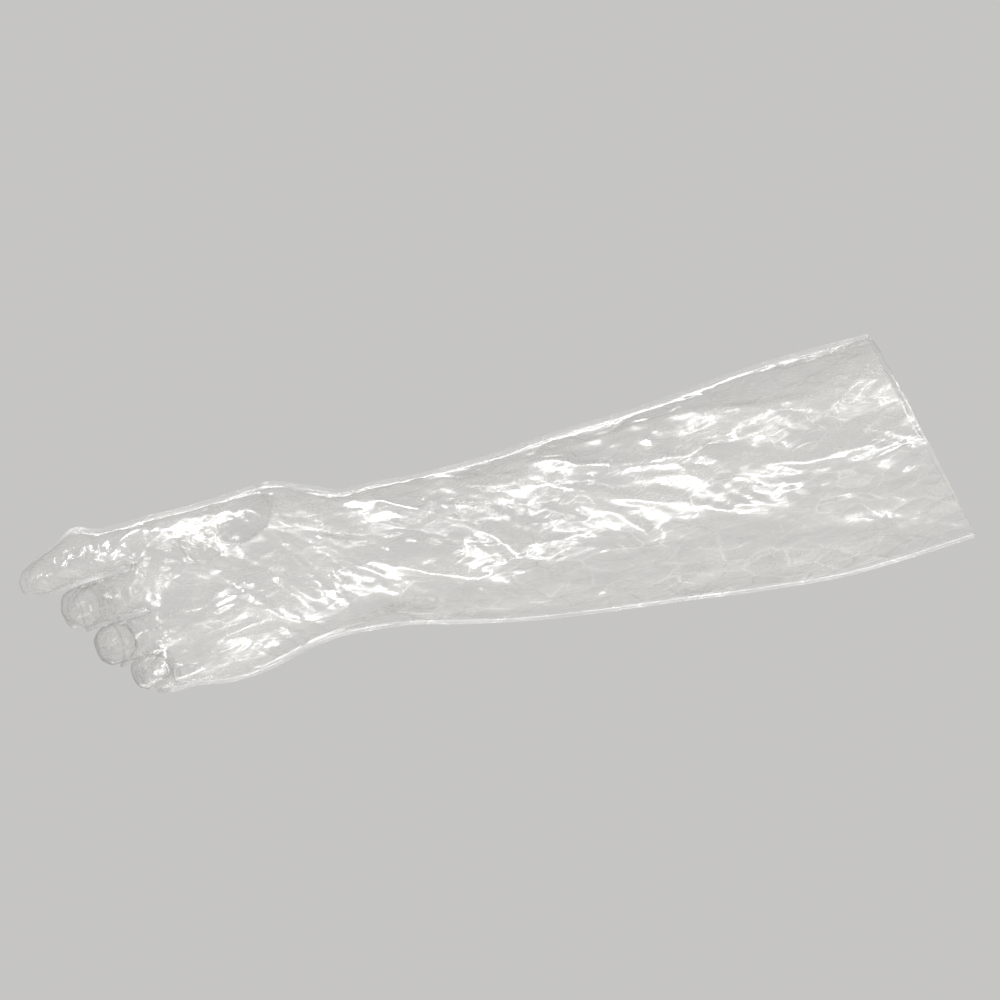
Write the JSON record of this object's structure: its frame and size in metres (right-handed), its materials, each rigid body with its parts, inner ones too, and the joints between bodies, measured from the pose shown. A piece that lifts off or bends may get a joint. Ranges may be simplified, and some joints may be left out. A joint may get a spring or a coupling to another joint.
{
  "type": "polyethylene disposable glove",
  "caption": "Elbow-length glove of clear polyethylene film in its worn form, a back sheet and a palm sheet welded round the outline, open at the cuff.",
  "frame": {"origin": "middle of the open cuff, on the plane of the weld", "axes": "+X along the sleeve out through the open cuff, +Z towards the thumb's side, -Y out of the back of the hand"},
  "size_m": [0.4877, 0.1155, 0.1331],
  "materials": {
    "film": "clear glossy film, lightly embossed",
    "weld": "melted and a little whiter than the film"
  },
  "bodies": {
    "root": {"back_sheet": "film", "palm_sheet": "film", "edge_weld": "weld"}
  },
  "joints": []
}
